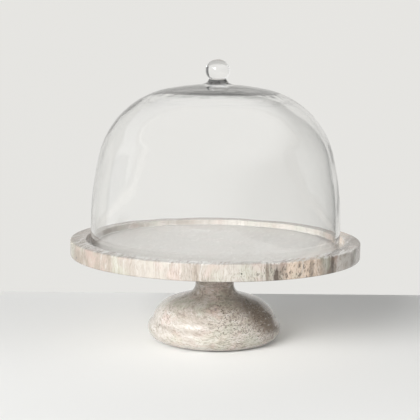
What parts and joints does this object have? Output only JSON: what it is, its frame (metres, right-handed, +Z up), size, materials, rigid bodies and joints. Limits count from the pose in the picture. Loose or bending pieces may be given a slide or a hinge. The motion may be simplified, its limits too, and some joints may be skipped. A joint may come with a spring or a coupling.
{
  "type": "cake stand with dome",
  "caption": "Round marble cake stand on a turned foot, with a clear glass dome that lifts off by its ball handle.",
  "frame": {"origin": "centre of the base on the floor, under the four pads", "axes": "+Z up, along the axis on which the foot, the slab and the dome are turned"},
  "size_m": [0.305, 0.305, 0.296],
  "materials": {
    "clear_glass": "clear, fire polished",
    "marble": "polished beige marble with grey, cream and brown veins",
    "brass": "turned",
    "zinc_steel": "zinc plated",
    "pad_rubber": "matt black rubber"
  },
  "bodies": {
    "stand": {"marble_plate": "marble", "marble_pedestal": "marble", "threaded_insert": "brass", "pedestal_bolt": "zinc_steel", "spring_washer": "zinc_steel", "flat_washer": "zinc_steel", "foot_pad_1": "pad_rubber", "foot_pad_2": "pad_rubber", "foot_pad_3": "pad_rubber", "foot_pad_4": "pad_rubber"},
    "dome": {"glass_dome": "clear_glass", "glass_knob": "clear_glass"}
  },
  "joints": [
    {"name": "dome_lift", "type": "slide", "parent": "stand", "child": "dome", "axis": [0, 0, 1], "range_m": [0, 0.25]}
  ]
}
